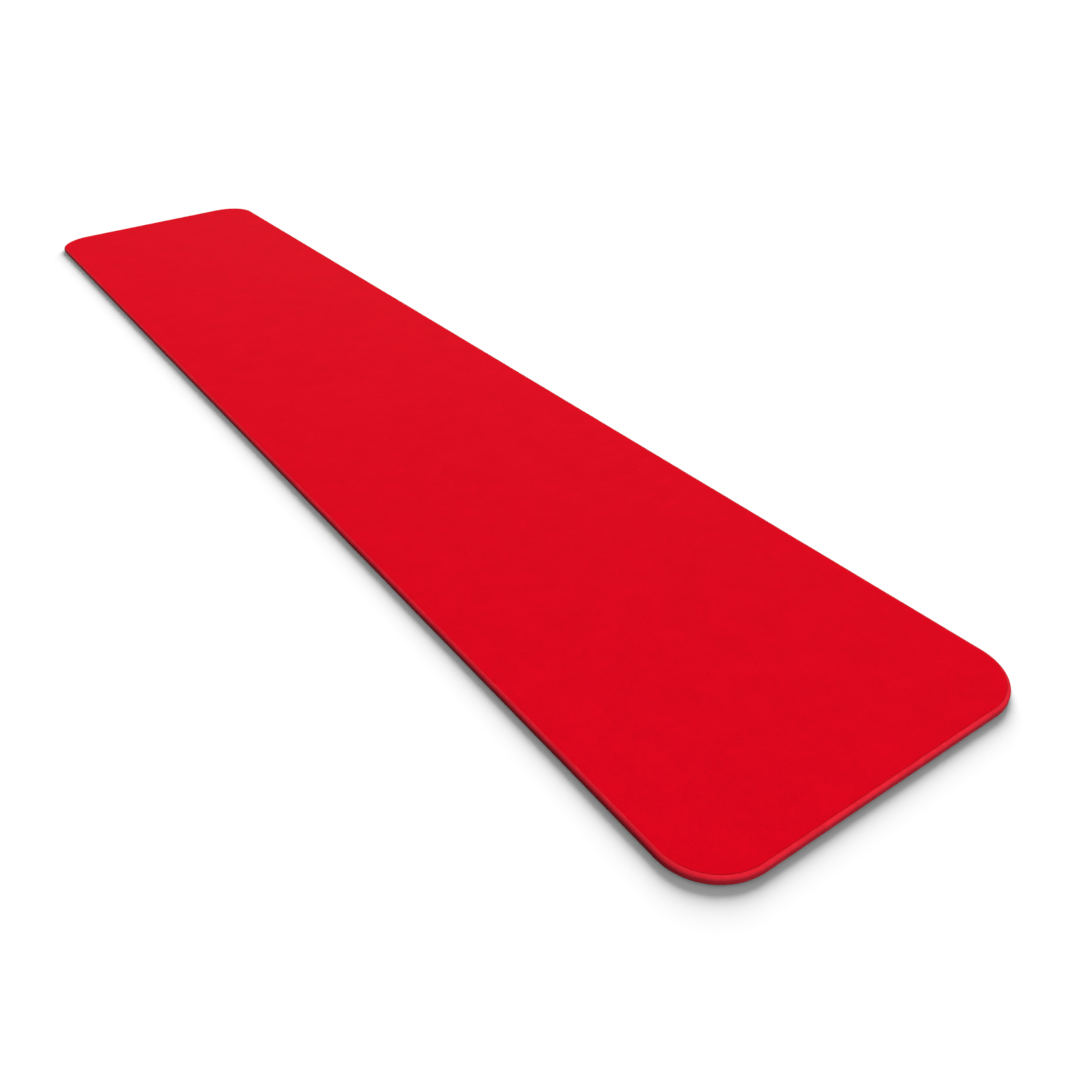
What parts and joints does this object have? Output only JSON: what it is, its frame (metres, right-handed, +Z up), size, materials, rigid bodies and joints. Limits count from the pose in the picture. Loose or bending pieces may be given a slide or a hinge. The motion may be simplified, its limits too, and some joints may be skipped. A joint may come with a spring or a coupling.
{
  "type": "roll-out landing mat",
  "caption": "Long thin gymnastics landing and run-up mat with large rounded corners, a felt top, a fabric side strip, a layered foam core and an anti-slip underside.",
  "frame": {"origin": "middle of the underside, on the floor", "axes": "+Z up, +X along the mat's length, +Y across its width"},
  "size_m": [5, 1, 0.025],
  "materials": {
    "red_felt": "matte",
    "red_border_fabric": "matte",
    "red_thread": "satin",
    "soft_foam": "matte",
    "firm_foam": "matte",
    "anti_slip_sheet": "matte"
  },
  "bodies": {
    "root": {"top_cover": "red_felt", "edge_border": "red_border_fabric", "cover_seam_thread": "red_thread", "soft_foam_near": "soft_foam", "soft_foam_middle": "soft_foam", "soft_foam_far": "soft_foam", "firm_foam_near": "firm_foam", "firm_foam_middle": "firm_foam", "firm_foam_far": "firm_foam", "anti_slip_base": "anti_slip_sheet"}
  },
  "joints": []
}
